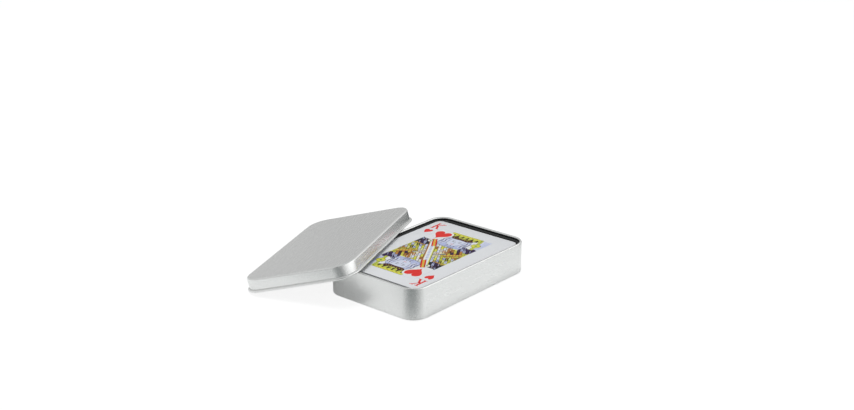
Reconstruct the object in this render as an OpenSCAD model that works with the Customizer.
// Slip-lid tin for a deck of playing cards. The tin is a drawn shell with a curled rim,
// a moulded tray sits in it, the deck lies in the tray, and the loose lid leans on the rim.
// Origin: centre of the tin's underside. +X runs along the tin, +Y across it, +Z up.

/* [Cards] */
// Length of a card
card_l = 88; // [80:0.5:100]
// Width of a card
card_w = 58; // [52:0.5:66]
// Thickness of a card
card_t = 0.3; // [0.25:0.01:0.34]
// Corner radius of a card
card_r = 3.5; // [2.5:0.25:5]

/* [Tray] */
// Gap between the deck's edges and the tray's pocket
pocket_gap = 1; // [0.9:0.1:2]
// Thickness of the moulded sheet
tray_t = 0.4; // [0.3:0.05:0.6]
// Width of the ledge at the two ends, outside the pocket
ledge_end = 3.15; // [2.4:0.05:6]
// Width of the ledge along the two sides, outside the pocket
ledge_side = 1.65; // [1.5:0.05:6]
// Outer radius of the bend from the ledge into the pocket
tray_mouth_r = 0.9; // [0.7:0.05:1.2]
// Inner radius of the bend from the pocket's wall to its floor
tray_foot_r = 0.7; // [0.4:0.05:0.8]
// Depth of the turned-down edge round the ledge
tray_skirt_h = 3; // [1.5:0.1:6]
// Gap between the ledge and the tin's wall
tray_gap = 0.2; // [0.1:0.05:0.4]
// Gap between the ledge and the tin's curled rim
tray_rim_gap = 0.15; // [0.1:0.05:0.4]

/* [Tin] */
// Thickness of the tinplate
sheet = 0.25; // [0.2:0.01:0.34]
// Depth of the top card below the tin's rim
card_drop = 1.45; // [1:0.05:4]
// Corner radius of the tin
tin_r = 9.5; // [7:0.5:14]
// Outer radius of the bend at the tin's foot
tin_foot_r = 0.8; // [0.5:0.1:2]
// Diameter of the curled rim
rim_d = 1.3; // [1.1:0.05:1.4]

/* [Lid] */
// Height of the lid
lid_h = 7.9; // [5:0.1:12]
// Gap between the tin and the lid on each side
lid_gap = 0.4; // [0.3:0.05:0.8]
// Outer radius of the bend round the lid's top
lid_top_r = 1.2; // [0.6:0.1:2.5]
// Diameter of the curled bead at the lid's lower edge
bead_d = 1.4; // [1:0.05:1.6]

/* [Lid taken off] */
// Place of the lid
lid_place = "leaning"; // [leaning, closed]
// Turn of the leaning lid from the tin's long side, in degrees
lean_turn = 21.2; // [15:0.2:30]
// Centre of the leaning lid, along the tin
lean_x = -23.6; // [-30:0.1:-20]
// Centre of the leaning lid, across the tin
lean_y = 54.3; // [50:0.1:58]
// Gap between the lid's bead and the rim that it leans on
lean_gap = 0.15; // [0.1:0.05:0.4]

/* [Hidden] */
$fn = 64;
RANKS = ["ace", "two", "three", "four", "five", "six", "seven",
         "eight", "nine", "ten", "jack", "queen", "king"];
SUITS = ["clubs", "hearts", "diamonds", "spades"];
JOKERS = ["card_joker_first", "card_joker_second"];

// The shuffled order: each card lies this many places on from the one below it in the sorted pack
deal_step = 19;
deal_start = 44;
sorted_count = len(RANKS) * len(SUITS);

// Name of the card that lies n places above the two jokers
function dealt_name(n) =
    let (place = (deal_step * n + deal_start) % sorted_count)
    str("card_", RANKS[place % len(RANKS)], "_of_", SUITS[floor(place / len(RANKS))]);

CARDS = concat(JOKERS, [for (n = [0:sorted_count - 1]) dealt_name(n)]);

// Sizes of the tray's pocket and ledge
pocket_l = card_l + 2 * pocket_gap;
pocket_w = card_w + 2 * pocket_gap;
pocket_r = card_r + pocket_gap;
ledge_l = pocket_l + 2 * (tray_t + ledge_end);
ledge_w = pocket_w + 2 * (tray_t + ledge_side);

// Sizes of the tin, from the tray that it holds
tin_l = ledge_l + 2 * (tray_gap + sheet);
tin_w = ledge_w + 2 * (tray_gap + sheet);
deck_z = sheet + tray_t;
deck_h = len(CARDS) * card_t;
tin_h = deck_z + deck_h + card_drop;
ledge_r = tin_r - sheet - tray_gap;
ledge_top = tin_h - rim_d - tray_rim_gap;

// Sizes of the lid, from the tin that it slips over
lid_offset = lid_gap + sheet;
lid_l = tin_l + 2 * lid_offset;
lid_w = tin_w + 2 * lid_offset;
lid_r = tin_r + lid_offset;
bead_r = bead_d / 2;
bead_x = bead_r - sheet;

// The closed lid's top panel lies this far above the rim
panel_gap = 0.1;
closed_z = tin_h + panel_gap + sheet - lid_h;

// The lean: one long bead lies on the ground and the other on the rim
bead_arm = lid_w / 2 + bead_x;
lean_tilt = asin((tin_h + lean_gap) / (2 * bead_arm));
lean_z = (tin_h + lean_gap) / 2 + bead_r + (lid_h - bead_r) * cos(lean_tilt);

// How far round each curl runs, from the wall that it starts on
curl_turn = 285;

// Rectangle with round corners, about the origin
module rounded(l, w, r) {
    square([l - 2 * r, w], center = true);
    square([l, w - 2 * r], center = true);
    for (x = [-1, 1], y = [-1, 1])
        translate([x * (l / 2 - r), y * (w / 2 - r)])
            circle(r);
}

// Bent strip: part of a ring of outer radius r and thickness t, from one angle to another
module bend(r, t, from, to) {
    reach = 2 * r;
    corners = ceil((to - from) / 45);
    step = (to - from) / corners;
    intersection() {
        difference() {
            circle(r);
            circle(r - t);
        }
        polygon([[0, 0], for (i = [0:corners]) reach * [cos(from + i * step), sin(from + i * step)]]);
    }
}

// Sweeps a wall section round a rounded rectangle. The section's x = 0 runs along the outline,
// with positive x outside it, and its y is the height.
module around(l, w, r) {
    for (side = [0:3])
        rotate(90 * side)
            let (a = side % 2 == 0 ? l : w, b = side % 2 == 0 ? w : l) {
                translate([a / 2, b / 2 - r, 0])
                    rotate([90, 0, 0])
                        linear_extrude(b - 2 * r)
                            children();
                translate([a / 2 - r, b / 2 - r, 0])
                    rotate_extrude(angle = 90)
                        translate([r, 0])
                            children();
            }
}

// Section of the tin's wall: the bend at its foot, the upright and the rim curled inwards
module tin_section() {
    rim_r = rim_d / 2;
    translate([-tin_foot_r, tin_foot_r])
        bend(tin_foot_r, sheet, -90, 0);
    translate([-sheet, tin_foot_r])
        square([sheet, tin_h - rim_r - tin_foot_r]);
    translate([-rim_r, tin_h - rim_r])
        bend(rim_r, sheet, 0, curl_turn);
}

// Section of the lid's skirt: the bend round its top, the upright and the bead curled outwards
module lid_section() {
    translate([-lid_top_r, lid_h - lid_top_r])
        bend(lid_top_r, sheet, 0, 90);
    translate([-sheet, bead_r])
        square([sheet, lid_h - lid_top_r - bead_r]);
    translate([bead_x, bead_r])
        bend(bead_r, sheet, 180, 180 + curl_turn);
}

// Section of the tray's pocket, outwards from the pocket: mouth bend, upright and foot bend
module pocket_section() {
    foot_out = tray_foot_r + tray_t;
    translate([tray_mouth_r, ledge_top - tray_mouth_r])
        bend(tray_mouth_r, tray_t, 90, 180);
    translate([0, sheet + foot_out])
        square([tray_t, ledge_top - tray_mouth_r - sheet - foot_out]);
    translate([-tray_foot_r, sheet + foot_out])
        bend(foot_out, tray_t, -90, 0);
}

// Drawn tin with a flat bottom
module tin_base() {
    color("silver") {
        around(tin_l, tin_w, tin_r)
            tin_section();
        linear_extrude(sheet)
            rounded(tin_l - 2 * tin_foot_r, tin_w - 2 * tin_foot_r, tin_r - tin_foot_r);
    }
}

// Drawn lid about its own centre, with its bead at the height of the origin
module lid_shell() {
    around(lid_l, lid_w, lid_r)
        lid_section();
    translate([0, 0, lid_h - sheet])
        linear_extrude(sheet)
            rounded(lid_l - 2 * lid_top_r, lid_w - 2 * lid_top_r, lid_r - lid_top_r);
}

// Loose lid, leaning on the rim or closed over the tin
module lid() {
    color("lightgray")
        if (lid_place == "closed")
            translate([0, 0, closed_z])
                lid_shell();
        else
            translate([lean_x, lean_y, lean_z])
                rotate([0, 0, lean_turn])
                    rotate([-lean_tilt, 0, 0])
                        translate([0, 0, -lid_h])
                            lid_shell();
}

// Black moulded tray: a ledge under the rim, with a turned-down edge, round a pocket for the deck
module liner_tray() {
    mouth_l = pocket_l + 2 * tray_mouth_r;
    mouth_w = pocket_w + 2 * tray_mouth_r;
    color("#18191b") {
        translate([0, 0, ledge_top - tray_t])
            linear_extrude(tray_t)
                difference() {
                    rounded(ledge_l, ledge_w, ledge_r);
                    rounded(mouth_l, mouth_w, pocket_r + tray_mouth_r);
                }
        translate([0, 0, ledge_top - tray_skirt_h])
            linear_extrude(tray_skirt_h - tray_t)
                difference() {
                    rounded(ledge_l, ledge_w, ledge_r);
                    rounded(ledge_l - 2 * tray_t, ledge_w - 2 * tray_t, ledge_r - tray_t);
                }
        around(pocket_l, pocket_w, pocket_r)
            pocket_section();
        translate([0, 0, sheet])
            linear_extrude(tray_t)
                rounded(pocket_l - 2 * tray_foot_r, pocket_w - 2 * tray_foot_r, pocket_r - tray_foot_r);
    }
}

// One card of the deck, counted from the bottom
module card(place) {
    color("white")
        translate([0, 0, deck_z + place * card_t])
            linear_extrude(card_t)
                rounded(card_l, card_w, card_r);
}

tin_base();
liner_tray();
lid();
for (place = [0:len(CARDS) - 1])
    card(place);
